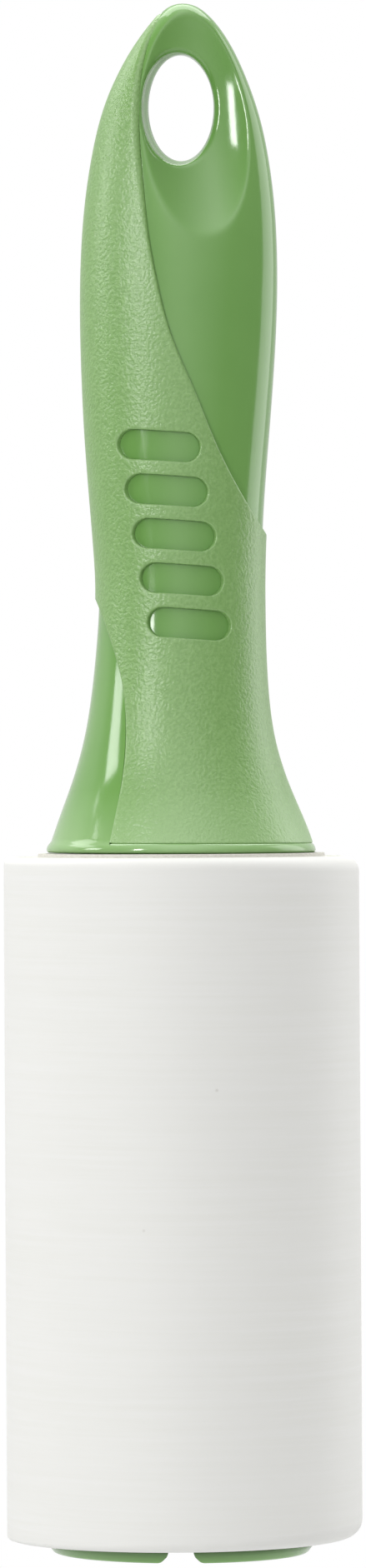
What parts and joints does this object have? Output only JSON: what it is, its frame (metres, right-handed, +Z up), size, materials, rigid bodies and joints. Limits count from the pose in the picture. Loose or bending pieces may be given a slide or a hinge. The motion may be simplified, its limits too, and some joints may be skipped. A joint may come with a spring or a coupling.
{
  "type": "lint roller",
  "caption": "Handheld lint roller: two-shot moulded handle with hanging eyelet, free-spinning slotted cage and a slide-off roll of tacky paper sheets.",
  "frame": {"origin": "on the roller's axis in the plane of the two lips it stands on, the centre of the bottom of its bounding box", "axes": "+Z up the roller's axis to the handle's tip, -Y towards the viewer who sees the pill windows and the cage's front slit, +X to that viewer's right"},
  "size_m": [0.053, 0.053, 0.2313],
  "materials": {
    "gloss_green": "polished moulded polypropylene",
    "textured_green": "fine spark-eroded grain",
    "plated_steel": "zinc plated",
    "natural_nylon": "moulded",
    "core_board": "spiral wound board",
    "white_paper": "smooth coated sheet, tacky side out"
  },
  "bodies": {
    "handle": {"handle_body": "gloss_green", "grip_overmould": "textured_green", "axle": "plated_steel", "thrust_washer": "natural_nylon", "push_nut": "plated_steel"},
    "cage": {"cage_hub": "gloss_green"},
    "left_spring": {"left_finger": "gloss_green"},
    "right_spring": {"right_finger": "gloss_green"},
    "refill": {"core_tube": "core_board", "sheet_roll": "white_paper", "outer_sheet": "white_paper"}
  },
  "joints": [
    {"name": "cage_spin", "type": "hinge", "parent": "handle", "child": "cage", "pos_m": [0, 0, 0.1], "axis": [0, 0, 1], "continuous": true},
    {"name": "left_finger_flex", "type": "hinge", "parent": "cage", "child": "left_spring", "pos_m": [-0.012, 0, 0.10105], "axis": [0, -1, 0], "range_deg": [0, 0.9], "stiffness_Nm_per_rad": 2},
    {"name": "right_finger_flex", "type": "hinge", "parent": "cage", "child": "right_spring", "pos_m": [0.012, 0, 0.10105], "axis": [0, 1, 0], "range_deg": [0, 0.9], "stiffness_Nm_per_rad": 2},
    {"name": "refill_slide", "type": "slide", "parent": "cage", "child": "refill", "axis": [0, 0, -1], "range_m": [0, 0.105]}
  ]
}
